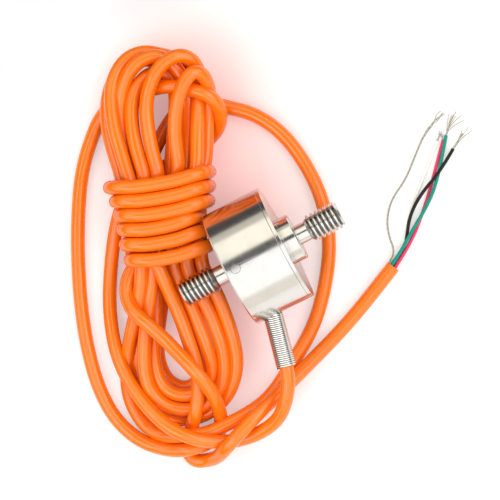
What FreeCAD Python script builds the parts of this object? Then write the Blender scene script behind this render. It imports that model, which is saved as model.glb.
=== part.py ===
"""Miniature tension and compression load cell with a spring strain relief and a cable in a tied hank.

Millimetres. +X runs along the load axis towards the sensing end, +Z is up, and the cell lies on its side
with the origin under the middle of its overall length, on the surface that it rests on.
"""
import FreeCAD, Part
import math
import os

# Body: a turned cup closed by the sensing diaphragm
body_diameter = 25.0
body_length = 13.0
wall_thickness = 2.5
floor_thickness = 2.0
base_rim_chamfer = 0.3
seam_chamfer = 0.08

# Sensing diaphragm: flange, locating spigot, thin web, hub and loading collar
flange_thickness = 0.75
web_thickness = 1.1
spigot_depth = 1.5
spigot_wall = 1.2
spigot_clearance = 0.02
hub_diameter = 8.0
hub_depth = 2.0
collar_diameter = 10.0
collar_height = 2.7
collar_chamfer = 0.25

# Threaded studs, at their crest diameter, with a plain relief next to the body
stud_diameter = 5.8
stud_relief_diameter = 4.1
stud_end_chamfer = 0.5
base_stud_length = 11.0
base_relief_length = 3.1
load_stud_length = 9.9
load_relief_length = 2.4

# Side plug, pressed in flush near the base rim
plug_diameter = 2.2
plug_depth = 1.4
plug_clearance = 0.04
plug_from_base = 2.3
plug_dimple_diameter = 1.1
plug_dimple_depth = 0.15

# Strain gauges on the inner face of the web, evenly round the hub
gauge_count = 4
gauge_first_angle = 45.0
gauge_length = 3.2
gauge_width = 2.4
gauge_thickness = 0.12
gauge_tab_size = 0.8
gauge_tab_height = 0.08
gauge_tab_inset = 0.1
gauge_line_count = 4
gauge_line_length = 1.8
gauge_line_width = 0.2
gauge_line_height = 0.04
gauge_lead_width = 0.35
gauge_lead_thickness = 0.1

# Terminal board on the cup floor, with two trim resistors
board_thickness = 0.8
board_edge_gap = 0.8
resistor_length = 2.0
resistor_width = 1.25
resistor_height = 0.5
resistor_from_board_edge = 2.8
resistor_angles = (0.0, 90.0)

# Cable entry: the spring seats in a counterbore, and a bush seals the jacket behind it
cable_diameter = 3.0
entry_from_base = 3.6
entry_lean_deg = 13.2
bush_wall = 0.45
bush_length = 1.3
jacket_past_bush = 0.4
entry_drill_run_out = 0.3

# Strain relief: a close-wound spring round the jacket
spring_wire = 0.4
spring_pitch = 0.43
spring_bore_clearance = 0.2
spring_free_length = 10.9
spring_seat_depth = 1.2
spring_seat_clearance = 0.05
spring_flats_per_turn = 9

# Cores of the cable: where they leave the jacket, and how far they reach to their pads on the board
core_diameter = 0.74
core_sides = 6
core_pitch = 1.12
near_pad_reach = 2.6
near_pad_spread = 2.2
far_pad_reach = 4.4
far_pad_spread = 0.8
core_colours = ("red", "black", "green", "white")
bare_end_diameter = 0.45
bare_end_length = 5.5
drain_diameter = 0.5

# Place of the laid cable along the load axis, which is added to every point of its routes and to the hank
cable_lay_x = 0.45

# Hank: the tied turns of cable, one plain solid laid out in its own axes, across, along and up.
# Each section gives its place along the hank, its left and right edges, and its height off the surface.
hank_centre = (-15.4, 17.1)
hank_turn_deg = -21.0
hank_corner_share = 0.3
tie_sections = (
    (8.9, -12.0, 11.3, 0.0, 15.4),
    (-9.6, -9.8, 7.4, 0.0, 15.4),
)
top_sections = (
    (7.0, -9.0, 8.6, 2.0, 13.0),
    (18.0, -12.2, 14.0, 1.0, 13.0),
    (25.0, -12.0, 14.2, 1.0, 13.0),
    (31.5, -8.5, 12.0, 2.0, 12.0),
    (36.0, -3.5, 7.0, 4.0, 10.0),
)
bottom_sections = (
    (-7.6, -7.6, 6.6, 1.0, 8.3),
    (-17.0, -9.0, 11.0, 0.0, 8.3),
    (-27.0, -9.6, 13.4, 0.0, 8.3),
    (-35.0, -7.8, 13.0, 0.0, 8.5),
    (-41.0, -2.8, 8.0, 0.0, 7.8),
)

# Free stretches of the cable. Each list is the route's points, laid by hand.
cord_sides = 6
lead_straight = 4.0
lead_points = (
    (-9.6, -30.4, 11.2), (-13.6, -33.0, 8.6), (-19.4, -34.2, 5.9), (-25.6, -32.5, 5.3),
    (-31.4, -28.0, 8.3), (-35.9, -21.8, 8.0), (-38.5, -13.6, 4.7), (-38.8, -4.8, 2.0), (-35.8, 4.6, 1.5),
    (-30.8, 13.0, 2.0), (-24.8, 20.6, 4.6),
)
loop_points = (
    (0.5, 36.0, 6.8), (6.0, 31.4, 5.2), (11.0, 26.8, 2.6), (14.0, 20.2, 1.5),
    (15.3, 12.2, 1.5), (15.2, 3.8, 1.5), (13.0, -4.6, 1.5), (8.6, -12.2, 1.5),
    (1.6, -18.4, 1.5), (-6.4, -23.0, 1.5), (-14.0, -27.1, 2.2), (-20.4, -29.0, 4.4),
    (-26.2, -29.1, 4.4), (-32.2, -28.9, 2.0), (-38.2, -27.7, 1.5), (-42.8, -23.4, 1.5),
    (-45.4, -16.4, 1.5), (-45.2, -8.0, 1.5), (-42.8, 1.8, 1.5), (-38.6, 12.6, 1.5),
    (-33.0, 23.8, 1.5), (-27.0, 33.4, 1.5), (-20.6, 40.0, 2.0), (-13.6, 43.4, 3.6),
)
tail_points = (
    (-26.4, -20.0, 6.2), (-29.8, -23.8, 5.3), (-32.9, -27.5, 5.1), (-34.3, -30.2, 5.0),
    (-34.7, -32.8, 4.8), (-33.4, -35.0, 4.9), (-31.0, -35.8, 5.6), (-28.4, -35.0, 7.2),
    (-25.4, -33.6, 8.7), (-21.4, -31.5, 8.9), (-16.6, -29.4, 6.9), (-10.8, -27.1, 4.8),
    (-3.6, -24.3, 3.3), (5.0, -21.2, 1.9), (13.8, -18.0, 1.5), (22.3, -14.7, 1.5),
)

# Far end of the cable: each wire starts on the cut jacket, across and up from its middle, and runs
# straight out before its points. A core goes on past its last point as a bare end.
wire_sides = 4
wire_straight = 2.0
far_cores = {
    "green": ((0.2, 0.85), ((29.4, -10.6, 1.9), (36.6, -5.6, 1.0), (44.8, 4.3, 0.6))),
    "red": ((-0.75, 0.2), ((28.6, -11.9, 1.3), (33.6, -7.0, 0.5), (38.2, -2.1, 0.4), (42.8, 3.4, 0.4))),
    "black": ((-0.2, -0.85), ((25.6, -13.7, 0.4), (30.4, -7.0, 0.5), (37.0, -3.3, 1.7), (44.6, 1.1, 1.2))),
    "white": ((0.75, -0.25), ((26.6, -9.2, 0.6), (33.0, -3.0, 0.4), (41.6, 4.6, 0.4))),
}
drain_start = (1.1, 0.45)
drain_points = ((24.6, -10.2, 1.2), (25.6, -5.2, 0.4), (31.0, -0.9, 0.3), (38.2, 4.3, 0.3), (46.0, 9.4, 0.3))
arc_share = 0.45
parts_dir = "parts"

# Values worked out from the sizes above
Vector = FreeCAD.Vector
X_AXIS = Vector(1, 0, 0)
Z_AXIS = Vector(0, 0, 1)
cable_lay = X_AXIS * cable_lay_x
body_radius = body_diameter / 2
axis_z = body_radius
axis_point = Vector(0, 0, axis_z)
bore_radius = body_radius - wall_thickness
stud_radius = stud_diameter / 2
relief_radius = stud_relief_diameter / 2
relief_step = stud_radius - relief_radius
hub_radius = hub_diameter / 2
collar_radius = collar_diameter / 2
overall_length = base_stud_length + body_length + collar_height + load_stud_length
base_tip_x = -overall_length / 2
base_x = base_tip_x + base_stud_length
floor_x = base_x + floor_thickness
cover_x = base_x + body_length
seam_x = cover_x - flange_thickness
web_x = cover_x - web_thickness
collar_x = cover_x + collar_height
load_tip_x = collar_x + load_stud_length
spigot_radius = bore_radius - spigot_clearance
spigot_inner_radius = spigot_radius - spigot_wall
board_x = floor_x + board_thickness
board_radius = bore_radius - board_edge_gap
resistor_pitch_radius = board_radius - resistor_from_board_edge
gauge_x = web_x - gauge_thickness
tab_x = gauge_x - gauge_tab_height
gauge_pitch_radius = (hub_radius + spigot_inner_radius) / 2
tab_radius = gauge_pitch_radius - gauge_length / 2 + gauge_tab_inset + gauge_tab_size / 2
tab_offset = gauge_width / 2 - gauge_tab_inset - gauge_tab_size / 2
cable_radius = cable_diameter / 2
bush_radius = cable_radius + bush_wall
spring_coil_radius = cable_radius + spring_bore_clearance + spring_wire / 2
spring_outer_radius = spring_coil_radius + spring_wire / 2
entry_lean = math.radians(entry_lean_deg)
entry_out = Vector(-math.sin(entry_lean), -math.cos(entry_lean), 0)
entry_across = Vector(math.cos(entry_lean), -math.sin(entry_lean), 0)
entry_mouth = Vector(base_x + entry_from_base, -body_radius, axis_z)
spring_seat = entry_mouth - entry_out * spring_seat_depth
spring_end = entry_mouth + entry_out * spring_free_length
jacket_end = spring_seat - entry_out * (bush_length + jacket_past_bush)


def turned(profile):
    """Solid of revolution about the load axis from (x, radius) points."""
    points = [Vector(x, 0, axis_z + radius) for x, radius in profile]
    face = Part.Face(Part.makePolygon(points + points[:1]))
    return face.revolve(axis_point, X_AXIS, 360)


def rod(start, end, radius):
    """Round bar from one point to another."""
    return Part.makeCylinder(radius, (end - start).Length, start, end - start)


def flat_sided(centre, ahead, radius, sides):
    """Face with equal sides inside a circle, square to a direction and with one side underneath."""
    across = ahead.cross(Z_AXIS).normalize()
    upward = across.cross(ahead).normalize()
    corners = []
    for index in range(sides):
        angle = 2 * math.pi * (index + 0.5) / sides
        corners.append(centre + across * (radius * math.cos(angle)) + upward * (radius * math.sin(angle)))
    return Part.Face(Part.makePolygon(corners + corners[:1]))


def flat_rod(start, end, radius, sides):
    """Flat-sided bar from one point to another."""
    return flat_sided(start, end - start, radius, sides).extrude(end - start)


def block(x_low, x_high, radial, along, tangential, width, angle):
    """Box on the inner faces: x range, radial middle and length, tangential middle and width, turned."""
    corner = Vector(x_low, radial - along / 2, axis_z + tangential - width / 2)
    box = Part.makeBox(x_high - x_low, along, width, corner)
    box.rotate(axis_point, X_AXIS, angle)
    return box


def housing_cup():
    """Cup with its base stud in one piece, counterbored for the spring and drilled for the cable."""
    thread_end = base_x - base_relief_length
    cup = turned((
        (base_tip_x, 0),
        (base_tip_x, stud_radius - stud_end_chamfer),
        (base_tip_x + stud_end_chamfer, stud_radius),
        (thread_end - relief_step, stud_radius),
        (thread_end, relief_radius),
        (base_x, relief_radius),
        (base_x, body_radius - base_rim_chamfer),
        (base_x + base_rim_chamfer, body_radius),
        (seam_x - seam_chamfer, body_radius),
        (seam_x, body_radius - seam_chamfer),
        (seam_x, bore_radius),
        (floor_x, bore_radius),
        (floor_x, 0),
    ))
    counterbore = rod(spring_seat, spring_end, spring_outer_radius + spring_seat_clearance)
    hole = rod(jacket_end - entry_out * entry_drill_run_out, spring_seat, bush_radius)
    plug_floor = Vector(base_x + plug_from_base, 0, axis_z + body_radius - plug_depth)
    pocket = Part.makeCylinder(plug_diameter / 2, plug_depth, plug_floor)
    return cup.cut(counterbore).cut(hole).cut(pocket)


def sensing_diaphragm():
    """Load stud, collar, hub, thin web, spigot and welding flange, turned in one piece."""
    thread_start = collar_x + load_relief_length
    spigot_x = seam_x - spigot_depth
    return turned((
        (web_x - hub_depth, 0),
        (web_x - hub_depth, hub_radius),
        (web_x, hub_radius),
        (web_x, spigot_inner_radius),
        (spigot_x, spigot_inner_radius),
        (spigot_x, spigot_radius),
        (seam_x, spigot_radius),
        (seam_x, body_radius - seam_chamfer),
        (seam_x + seam_chamfer, body_radius),
        (cover_x, body_radius),
        (cover_x, collar_radius),
        (collar_x - collar_chamfer, collar_radius),
        (collar_x, collar_radius - collar_chamfer),
        (collar_x, relief_radius),
        (thread_start, relief_radius),
        (thread_start + relief_step, stud_radius),
        (load_tip_x - stud_end_chamfer, stud_radius),
        (load_tip_x, stud_radius - stud_end_chamfer),
        (load_tip_x, 0),
    ))


def side_plug():
    """Plug with a shallow dimple, its face flush with the round of the cup."""
    foot = Vector(base_x + plug_from_base, 0, axis_z + body_radius - plug_depth)
    pin = Part.makeCylinder(plug_diameter / 2 - plug_clearance, plug_depth, foot)
    cup_round = Part.makeCylinder(body_radius, body_length, Vector(base_x, 0, axis_z), X_AXIS)
    top = foot + Z_AXIS * plug_depth
    half = plug_dimple_diameter / 2
    ball_radius = (half ** 2 + plug_dimple_depth ** 2) / (2 * plug_dimple_depth)
    ball = Part.makeSphere(ball_radius, top + Z_AXIS * (ball_radius - plug_dimple_depth))
    return pin.common(cup_round).cut(ball)


def strain_gauge(angle):
    """Foil gauge: backing, grid lines and two solder tabs, on the inner face of the web."""
    gauge = block(gauge_x, web_x, gauge_pitch_radius, gauge_length, 0, gauge_width, angle)
    line_radius = gauge_pitch_radius + gauge_length / 2 - gauge_tab_inset - gauge_line_length / 2
    line_pitch = (gauge_width - 2 * gauge_tab_inset) / gauge_line_count
    for index in range(gauge_line_count):
        offset = (index - (gauge_line_count - 1) / 2) * line_pitch
        gauge = gauge.fuse(block(gauge_x - gauge_line_height, gauge_x, line_radius, gauge_line_length,
                                 offset, gauge_line_width, angle))
    for side in (-1, 1):
        gauge = gauge.fuse(block(tab_x, gauge_x, tab_radius, gauge_tab_size, side * tab_offset,
                                 gauge_tab_size, angle))
    return gauge


def gauge_leads(angles):
    """Flat lead ribbons from each gauge's tabs down to the terminal board."""
    ribbons = []
    for angle in angles:
        for side in (-1, 1):
            ribbons.append(block(board_x, tab_x, tab_radius, gauge_lead_thickness, side * tab_offset,
                                 gauge_lead_width, angle))
    return Part.makeCompound(ribbons)


def terminal_board():
    """Round board bonded to the cup floor."""
    return Part.makeCylinder(board_radius, board_thickness, Vector(floor_x, 0, axis_z), X_AXIS)


def trim_resistor(angle):
    """Chip resistor on the terminal board."""
    return block(board_x, board_x + resistor_height, resistor_pitch_radius, resistor_width, 0,
                 resistor_length, angle)


def entry_bush():
    """Sealing bush between the jacket and the hole in the cup wall."""
    inner_end = spring_seat - entry_out * bush_length
    return rod(inner_end, spring_seat, bush_radius).cut(rod(inner_end, spring_seat, cable_radius))


def core_to_pad(index, board):
    """Inner end of one core, from the cut jacket to its pad on the board."""
    near = index < 2
    side = -1 if index % 2 else 1
    start = jacket_end + entry_across * (core_pitch / 2 * (-1 if near else 1))
    start = start + Z_AXIS * (side * core_pitch / 2)
    reach = near_pad_reach if near else far_pad_reach
    spread = near_pad_spread if near else far_pad_spread
    pad = jacket_end - entry_out * reach
    pad = Vector(board_x, pad.y, axis_z + side * spread)
    ahead = (pad - start).normalize()
    core = flat_rod(start - ahead * core_diameter, pad + ahead * core_diameter, core_diameter / 2, core_sides)
    return longest(core.cut(board).cut(rod(jacket_end, entry_mouth, cable_radius)))


def strain_relief_spring():
    """Close-wound coil from its seat in the counterbore to the free end, with flats on each turn."""
    height = spring_seat_depth + spring_free_length - spring_wire
    steps = round(height / spring_pitch * spring_flats_per_turn)
    points = []
    for step in range(steps + 1):
        turn = 2 * math.pi * step / spring_flats_per_turn
        rise = spring_wire / 2 + height * step / steps
        points.append(Vector(spring_coil_radius * math.cos(turn), spring_coil_radius * math.sin(turn), rise))
    ahead = (points[1] - points[0]).normalize()
    upward = ahead.cross(X_AXIS).normalize() * (spring_wire / 2)
    outward = upward.cross(ahead)
    corners = [points[0] + outward, points[0] - outward + upward, points[0] - outward - upward]
    section = Part.makePolygon(corners + corners[:1])
    coil = Part.makePolygon(points).makePipeShell([section], True, False, 1)
    coil.Placement = FreeCAD.Placement(spring_seat, FreeCAD.Rotation(Z_AXIS, entry_out))
    return coil


def cord_tube(name, points, radius, sides):
    """Tube along straight runs joined by arcs as large as the runs allow, with its radii printed."""
    edges = []
    radii = []
    here = points[0]
    for before, corner, after in zip(points, points[1:], points[2:]):
        into = corner - before
        onward = after - corner
        setback = arc_share * min(into.Length, onward.Length)
        half_turn = into.getAngle(onward) / 2
        radii.append(setback / math.tan(half_turn))
        into.normalize()
        onward.normalize()
        start = corner - into * setback
        end = corner + onward * setback
        to_centre = (onward - into).normalize()
        middle = corner + to_centre * (radii[-1] * (1 / math.cos(half_turn) - 1))
        edges.append(Part.LineSegment(here, start).toShape())
        edges.append(Part.Arc(start, middle, end).toShape())
        here = end
    edges.append(Part.LineSegment(here, points[-1]).toShape())
    path = Part.Wire(edges)
    section = flat_sided(points[0], points[1] - points[0], radius, sides)
    tube = path.makePipe(section)
    ratio = tube.Volume / (section.Area * path.Length)
    listed = ", ".join("%.1f" % value for value in radii)
    print("%s: length %.1f, volume ratio %.4f, radii %s" % (name, path.Length, ratio, listed))
    return tube


def flat_face(corners):
    """Plane face round its corners."""
    return Part.Face(Part.makePolygon(list(corners) + list(corners[:1])))


def hank_loft(sections):
    """Flat-sided solid through sections of the hank, each with its corners cut."""
    rings = []
    for along, left, right, low, high in sections:
        cut = hank_corner_share * (high - low)
        outline = (
            (left + cut, low), (right - cut, low), (right, low + cut), (right, high - cut),
            (right - cut, high), (left + cut, high), (left, high - cut), (left, low + cut),
        )
        rings.append([Vector(across, along, up) for across, up in outline])
    faces = [flat_face(rings[0]), flat_face(rings[-1])]
    for ring, after in zip(rings, rings[1:]):
        for index in range(len(ring)):
            faces.append(flat_face((ring[index - 1], ring[index], after[index], after[index - 1])))
    return Part.Solid(Part.Shell(faces))


def cable_hank():
    """Outer shape of the hank: the tie round its waist, and the turns that fan out above and below."""
    hank = hank_loft(tie_sections).fuse(hank_loft(top_sections)).fuse(hank_loft(bottom_sections))
    hank = hank.removeSplitter()
    hank.rotate(Vector(0, 0, 0), Z_AXIS, hank_turn_deg)
    hank.translate(Vector(*hank_centre, 0) + cable_lay)
    return hank.Solids[0]


def vectors(points):
    """Route points as vectors, in the place where the cable is laid."""
    return [Vector(*point) + cable_lay for point in points]


def longest(shape):
    """Largest solid of a shape that was cut where it enters the hank."""
    return max(shape.Solids, key=lambda solid: solid.Volume)


def far_end_nodes(tail_end, tail_ahead):
    """Cores and drain wire that leave the cut jacket, with their bare ends."""
    tail_across = Z_AXIS.cross(tail_ahead)
    nodes = {}
    for colour, ((across, up), points) in far_cores.items():
        start = tail_end + tail_across * across + Z_AXIS * up
        route = [start, start + tail_ahead * wire_straight] + vectors(points)
        nodes["core_" + colour] = cord_tube("core " + colour, route, core_diameter / 2, wire_sides)
        run_out = (route[-1] - route[-2]).normalize()
        nodes["bare_end_" + colour] = flat_rod(route[-1], route[-1] + run_out * bare_end_length,
                                               bare_end_diameter / 2, wire_sides)
    start = tail_end + tail_across * drain_start[0] + Z_AXIS * drain_start[1]
    route = [start, start + tail_ahead * wire_straight] + vectors(drain_points)
    nodes["drain_wire"] = cord_tube("drain wire", route, drain_diameter / 2, wire_sides)
    return nodes


def build():
    """Every node of the part by name."""
    angles = [gauge_first_angle + 360 * index / gauge_count for index in range(gauge_count)]
    board = terminal_board()
    hank = cable_hank()
    lead_route = [spring_end, spring_end + entry_out * lead_straight] + vectors(lead_points)
    loop_route = vectors(loop_points)
    tail_route = vectors(tail_points)
    tail_ahead = (tail_route[-1] - tail_route[-2]).normalize()
    nodes = {
        "housing_cup": housing_cup(),
        "sensing_diaphragm": sensing_diaphragm(),
        "side_plug": side_plug(),
        "terminal_board": board,
        "gauge_leads": gauge_leads(angles),
        "entry_bush": entry_bush(),
        "cable_entry": rod(jacket_end, spring_end, cable_radius),
        "strain_relief_spring": strain_relief_spring(),
        "cable_hank": hank,
    }
    for name, route in (("lead", lead_route), ("outer_loop", loop_route), ("tail", tail_route)):
        tube = cord_tube("cable " + name, route, cable_radius, cord_sides)
        nodes["cable_" + name] = longest(tube.cut(hank))
    for index, angle in enumerate(angles):
        nodes["strain_gauge_%d" % (index + 1)] = strain_gauge(angle)
    for index, angle in enumerate(resistor_angles):
        nodes["trim_resistor_%d" % (index + 1)] = trim_resistor(angle)
    for index, colour in enumerate(core_colours):
        nodes["inner_core_" + colour] = core_to_pad(index, board)
    nodes.update(far_end_nodes(tail_route[-1], tail_ahead))
    return nodes


def main():
    """Write one STEP file for each node."""
    os.makedirs(parts_dir, exist_ok=True)
    for name, shape in build().items():
        shape.exportStep(os.path.join(parts_dir, name + ".step"))


main()
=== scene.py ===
"""Studio scene of a miniature load cell: turned steel cell, coil strain relief and a tied hank of cable.

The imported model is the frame, and every piece is built in its axes. Tables are in millimetres.
"""
from __future__ import annotations

import logging
import math
import random
from dataclasses import dataclass
from enum import Enum
from typing import Callable, Iterable, Sequence

import bmesh
import bpy
from bpy.types import Material, Mesh, NodeSocket, Object
from mathutils import Matrix, Vector


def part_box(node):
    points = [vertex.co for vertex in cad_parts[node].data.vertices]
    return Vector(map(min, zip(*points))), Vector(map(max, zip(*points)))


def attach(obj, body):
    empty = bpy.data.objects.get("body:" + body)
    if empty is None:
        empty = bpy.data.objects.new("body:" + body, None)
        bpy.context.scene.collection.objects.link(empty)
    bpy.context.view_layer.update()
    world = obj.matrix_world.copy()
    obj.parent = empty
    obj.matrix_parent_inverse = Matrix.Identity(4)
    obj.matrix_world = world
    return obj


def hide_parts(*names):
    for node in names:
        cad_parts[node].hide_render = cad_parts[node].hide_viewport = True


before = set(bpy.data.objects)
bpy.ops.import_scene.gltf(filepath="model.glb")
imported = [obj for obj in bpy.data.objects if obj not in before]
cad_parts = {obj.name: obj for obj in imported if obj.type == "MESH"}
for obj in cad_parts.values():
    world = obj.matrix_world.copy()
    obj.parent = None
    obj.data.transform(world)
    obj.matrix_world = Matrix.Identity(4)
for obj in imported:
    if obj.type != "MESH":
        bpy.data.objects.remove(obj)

LOG = logging.getLogger("load_cell")
MM = 0.001
AXIS_Z = 12.5
LAY_X = 0.45
SHARP_ANGLE = 40.0
ON_ROUND = 0.002
EASE_STEPS = 4
EASE_SHARE = 0.2
ENTRY_OUT = Vector((-0.228, -0.974, 0.0)).normalized()
GROOVE = "groove"

Point = tuple[float, float, float]
Colour = tuple[float, float, float]


class Slot(Enum):
    """Material slots of the part's record."""

    BODY_STEEL = "body_steel"
    PLUG_STEEL = "plug_steel"
    SPRING_STEEL = "spring_steel"
    BUSH_RUBBER = "bush_rubber"
    BOARD_LAMINATE = "board_laminate"
    RESISTOR_BODY = "resistor_body"
    GAUGE_FOIL = "gauge_foil"
    TINNED_COPPER = "tinned_copper"
    CABLE_JACKET = "cable_jacket"
    CORE_RED = "core_red"
    CORE_BLACK = "core_black"
    CORE_GREEN = "core_green"
    CORE_WHITE = "core_white"


def math_step(operation: str, reflected: bool = False) -> Callable[..., Level]:
    """Method that adds one Math node.

    Args:
        operation: the node's operation.
        reflected: whether the other value comes first.

    Returns:
        The method.
    """
    def method(self: Level, other: Level | float = 0.0) -> Level:
        """Result of the node for this value and another."""
        first, second = (other, self) if reflected else (self, other)
        node = self.owner.node("ShaderNodeMath", {0: first, 1: second}, operation=operation)
        return Level(self.owner, node.outputs[0])
    return method


class Level:
    """Number socket that adds Math nodes to its tree when it is used in an expression."""

    __add__ = math_step("ADD")
    __radd__ = math_step("ADD", reflected=True)
    __sub__ = math_step("SUBTRACT")
    __rsub__ = math_step("SUBTRACT", reflected=True)
    __mul__ = math_step("MULTIPLY")
    __rmul__ = math_step("MULTIPLY", reflected=True)
    __truediv__ = math_step("DIVIDE")
    least = math_step("MINIMUM")
    most = math_step("MAXIMUM")
    fraction = math_step("FRACT")
    whole = math_step("FLOOR")
    size = math_step("ABSOLUTE")
    sine = math_step("SINE")
    cosine = math_step("COSINE")

    def __init__(self, owner: NodeTree, socket: NodeSocket) -> None:
        """Keep the tree and the socket that gives the number."""
        self.owner = owner
        self.socket = socket

    def held(self, top: float = 1.0) -> Level:
        """Value kept between 0 and a top."""
        return self.most(0.0).least(top)

    def ramp(self, start: float, gain: float, top: float = 1.0) -> Level:
        """Rise from 0 at a start, held at a top."""
        return ((self - start) * gain).held(top)

    def swing(self, gain: float) -> Level:
        """Swing of a noise about its middle."""
        return (self - 0.5) * gain


class NodeTree:
    """Node tree of a material or a shape, built node by node."""

    def __init__(self, tree: bpy.types.NodeTree) -> None:
        """Take an empty tree."""
        self.tree = tree

    def node(self, kind: str, inputs: dict | None = None, **settings: object) -> bpy.types.Node:
        """Add a node.

        Args:
            kind: the node's type.
            inputs: value or link of each input, by name or index; a node gives its first output.
            settings: its properties, set first.

        Returns:
            The new node.
        """
        node = self.tree.nodes.new(kind)
        for key, value in settings.items():
            setattr(node, key, value)
        for key, value in (inputs or {}).items():
            if isinstance(value, Level):
                value = value.socket
            elif isinstance(value, bpy.types.Node):
                value = value.outputs[0]
            if isinstance(value, NodeSocket):
                self.tree.links.new(value, node.inputs[key])
            else:
                node.inputs[key].default_value = value
        return node

    def level(self, socket: NodeSocket) -> Level:
        """Socket as a number for expressions."""
        return Level(self, socket)

    def length_of(self, vector: bpy.types.Node) -> Level:
        """Length of a node's vector."""
        node = self.node("ShaderNodeVectorMath", {0: vector}, operation="LENGTH")
        return self.level(node.outputs["Value"])


class Recipe(NodeTree):
    """Node tree of one material."""

    def __init__(self, name: str) -> None:
        """Start a material with an empty tree."""
        self.material = bpy.data.materials.new(name)
        self.material.use_nodes = True
        super().__init__(self.material.node_tree)
        self.tree.nodes.clear()

    def place(self) -> NodeSocket:
        """Object coordinates, in metres."""
        return self.node("ShaderNodeTexCoord").outputs["Object"]

    def noise(self, scale: float, detail: float = 2.0, vector: bpy.types.Node | None = None) -> Level:
        """Noise texture's value, by object coordinates or by a node's vector."""
        node = self.node("ShaderNodeTexNoise", {
            "Vector": vector or self.place(), "Scale": scale, "Detail": detail})
        return self.level(node.outputs["Fac"])

    def groove(self) -> Level:
        """Depth in a thread's or a coil's groove, 0 on its crests and elsewhere; the mask for painted groove
        shade.
        """
        return self.level(self.node("ShaderNodeAttribute", attribute_name=GROOVE).outputs["Fac"])

    def mixed(self, share: Level, low: Colour | NodeSocket, high: Colour) -> NodeSocket:
        """Colour between two, by a share from 0 to 1."""
        if isinstance(low, tuple):
            low = (*low, 1.0)
        inputs = {0: share, 6: low, 7: (*high, 1.0)}
        return self.node("ShaderNodeMix", inputs, data_type="RGBA").outputs[2]

    def bumped(self, height: Level, strength: float, distance: float) -> NodeSocket:
        """Normal of a surface raised by a height, with a distance in millimetres."""
        inputs = {"Height": height, "Strength": strength, "Distance": distance * MM}
        return self.node("ShaderNodeBump", inputs).outputs["Normal"]

    def closed(self, inputs: dict, share: Level | None = None,
               cover: bpy.types.Node | None = None) -> Material:
        """Finish the material with a surface shader.

        Args:
            inputs: value or link of each of the shader's sockets.
            share: how much of a second shader covers it, if any does.
            cover: the second shader.

        Returns:
            The material.
        """
        surface = self.node("ShaderNodeBsdfPrincipled", inputs)
        if cover:
            surface = self.node("ShaderNodeMixShader", {0: share, 1: surface, 2: cover})
        self.node("ShaderNodeOutputMaterial", {"Surface": surface})
        return self.material


@dataclass(frozen=True)
class TurnedSteel:
    """Stainless steel with fine turning marks round the load axis, and painted shade darkening its thread's
    grooves.
    """

    name: str
    light: Colour = (0.66, 0.645, 0.62)
    dark: Colour = (0.50, 0.485, 0.46)
    # Painted shade: near-black colour laid into the thread's grooves, standing in for the shade there.
    root: Colour = (0.08, 0.075, 0.07)
    smooth: float = 0.16
    rough: float = 0.28
    mark_size: float = 0.05
    mark_depth: float = 0.0012
    mark_strength: float = 0.35
    mark_gain: float = 0.6
    mark_tone: float = 0.4
    worn_tone: float = 0.5
    smear_scale: float = 260.0
    smear_from: float = 0.35
    smear_gain: float = 1.4
    speck_scale: float = 2600.0
    speck_gain: float = 0.04
    # Painted groove shade: where it sets in, how fast it deepens, and how far it goes.
    groove_shade_from: float = 0.75
    groove_shade_gain: float = 4.0
    groove_shade_top: float = 0.85

    def material(self) -> Material:
        """Steel whose marks follow the place along the axis and the radius."""
        recipe = Recipe(self.name)
        parts = recipe.node("ShaderNodeSeparateXYZ", {0: recipe.place()})
        up = recipe.level(parts.outputs["Z"]) - AXIS_Z * MM
        reach = recipe.node("ShaderNodeCombineXYZ", {"X": parts.outputs["Y"], "Y": up})
        along = recipe.node("ShaderNodeCombineXYZ", {
            "X": parts.outputs["X"], "Y": recipe.length_of(reach)})
        marks = recipe.noise(1.0 / (self.mark_size * MM), 3.0, along)
        smears = recipe.noise(self.smear_scale, 4.0)
        specks = recipe.noise(self.speck_scale)
        worn = ((smears - self.smear_from) * self.smear_gain + marks.swing(self.mark_gain)).held()
        tone = (worn * self.worn_tone + marks * self.mark_tone).least(1.0)
        # Painted shade: the thread's grooves darken towards the near-black root colour.
        groove_shade = recipe.groove().ramp(self.groove_shade_from, self.groove_shade_gain, self.groove_shade_top)
        return recipe.closed({
            "Base Color": recipe.mixed(groove_shade, recipe.mixed(tone, self.light, self.dark), self.root),
            "Metallic": 1.0,
            "Roughness": self.smooth + (self.rough - self.smooth) * worn + specks.swing(self.speck_gain),
            "Normal": recipe.bumped(marks, self.mark_strength, self.mark_depth),
        })


@dataclass(frozen=True)
class SpringWire:
    """Drawn steel wire, bright on the coil's crests, with painted shade between its turns."""

    name: str
    light: Colour = (0.92, 0.90, 0.86)
    dull: Colour = (0.74, 0.72, 0.68)
    # Painted shade: near-black colour on the wire's sides and inside, between the turns.
    groove: Colour = (0.03, 0.027, 0.025)
    smooth: float = 0.12
    patch_scale: float = 700.0
    patch_tone: float = 0.7
    patch_rough: float = 0.12
    grain_scale: float = 9000.0
    grain_tone: float = 0.2
    grain_strength: float = 0.2
    grain_depth: float = 0.002
    # Painted shade: how far from the outer crest it starts and how fast it deepens.
    groove_shade_from: float = 0.15
    groove_shade_gain: float = 2.5

    def material(self) -> Material:
        """Bright wire with dull patches, and painted shade that follows the coil's grooves."""
        recipe = Recipe(self.name)
        patches = recipe.noise(self.patch_scale, 4.0)
        grain = recipe.noise(self.grain_scale)
        # Painted shade: the wire darkens away from its outer crest, between the turns.
        groove_shade = recipe.groove().ramp(self.groove_shade_from, self.groove_shade_gain)
        bright = recipe.mixed(patches * self.patch_tone + grain * self.grain_tone, self.light, self.dull)
        return recipe.closed({
            "Base Color": recipe.mixed(groove_shade, bright, self.groove),
            "Metallic": 1.0,
            "Roughness": self.smooth + patches * self.patch_rough,
            "Normal": recipe.bumped(grain, self.grain_strength, self.grain_depth),
        })


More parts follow.
